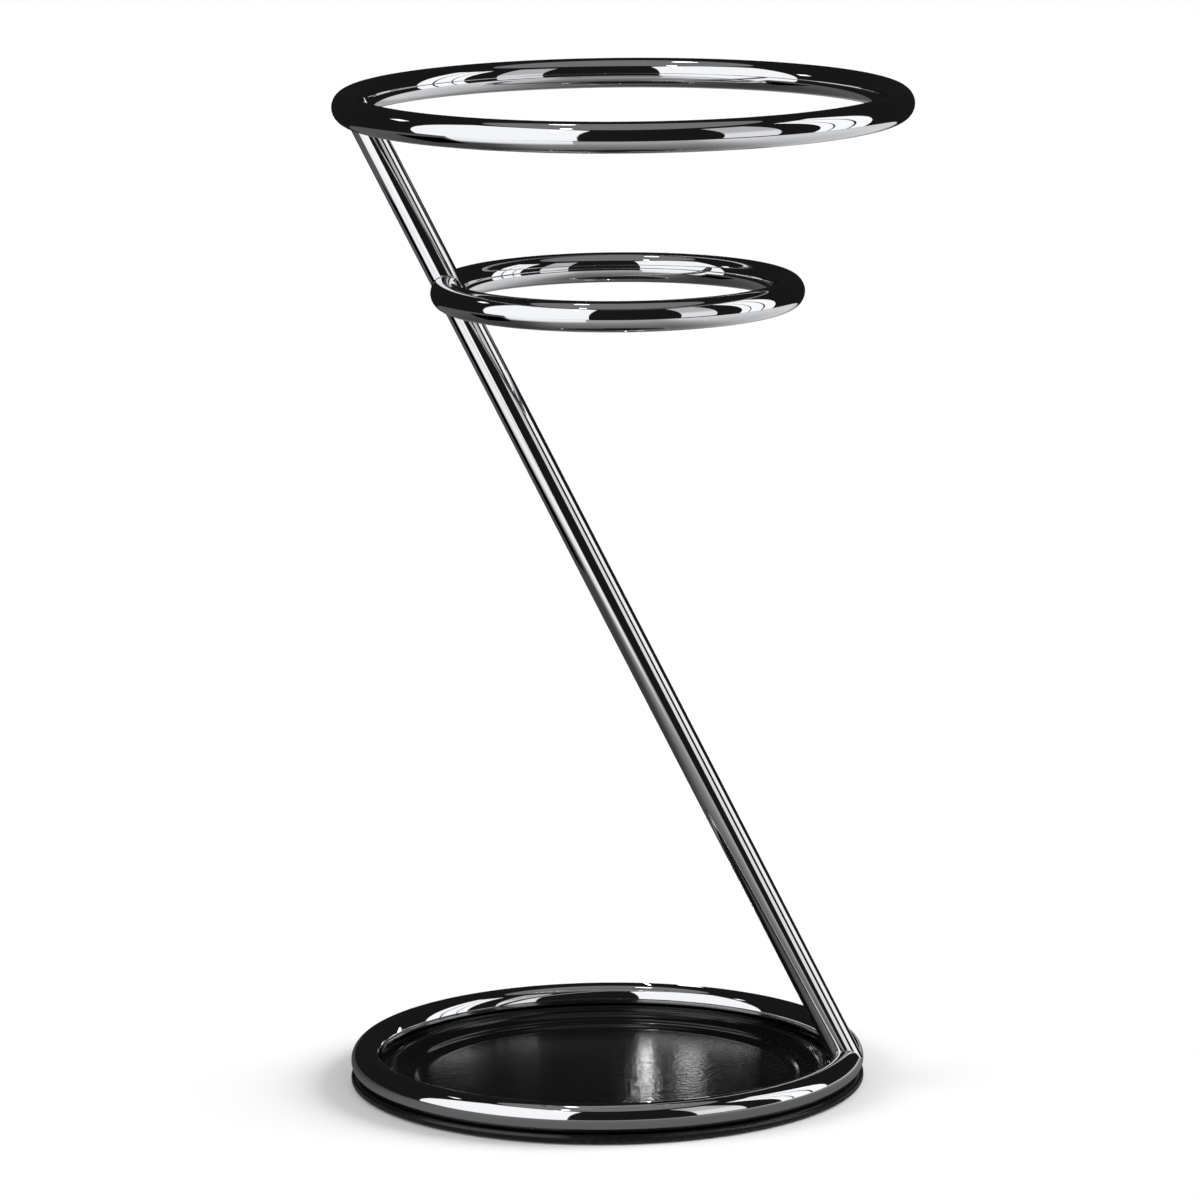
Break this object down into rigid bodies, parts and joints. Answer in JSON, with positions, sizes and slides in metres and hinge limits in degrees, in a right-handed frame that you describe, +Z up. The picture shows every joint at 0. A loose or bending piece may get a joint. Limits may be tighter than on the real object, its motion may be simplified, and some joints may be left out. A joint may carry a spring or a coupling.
{
  "type": "umbrella stand",
  "caption": "Umbrella stand: chromed tube rings on one leaning post over a weighted round base, with a lift-out drip tray.",
  "frame": {"origin": "on the floor, under the centre of the mouth ring, which is the widest part, so it is the bottom centre of the bounding box", "axes": "+Z up, away from the floor; the post leans in the XZ plane, from +X at the base to -X at the mouth ring"},
  "size_m": [0.302, 0.302, 0.5283],
  "materials": {
    "polished_chrome": "polished chrome plate on steel tube",
    "weld_chrome": "ground weld under chrome plate",
    "black_enamel": "satin black enamel",
    "black_abs": "glossy wall, pebbled floor",
    "black_rubber": "matt",
    "zinc_steel": "zinc plated",
    "insert_steel": "zinc plated"
  },
  "bodies": {
    "stand": {"top_ring": "polished_chrome", "middle_ring": "polished_chrome", "base_ring": "polished_chrome", "upper_post": "polished_chrome", "lower_post": "polished_chrome", "weld_top": "weld_chrome", "weld_middle_upper": "weld_chrome", "weld_middle_lower": "weld_chrome", "weld_base": "weld_chrome", "base_plate": "black_enamel", "foot_pads": "black_rubber", "base_screws": "zinc_steel", "thread_inserts": "insert_steel"},
    "tray": {"drip_tray": "black_abs"}
  },
  "joints": [
    {"name": "tray_lift", "type": "slide", "parent": "stand", "child": "tray", "axis": [-0.4538, 0, 0.8911], "range_m": [0, 0.12]}
  ]
}
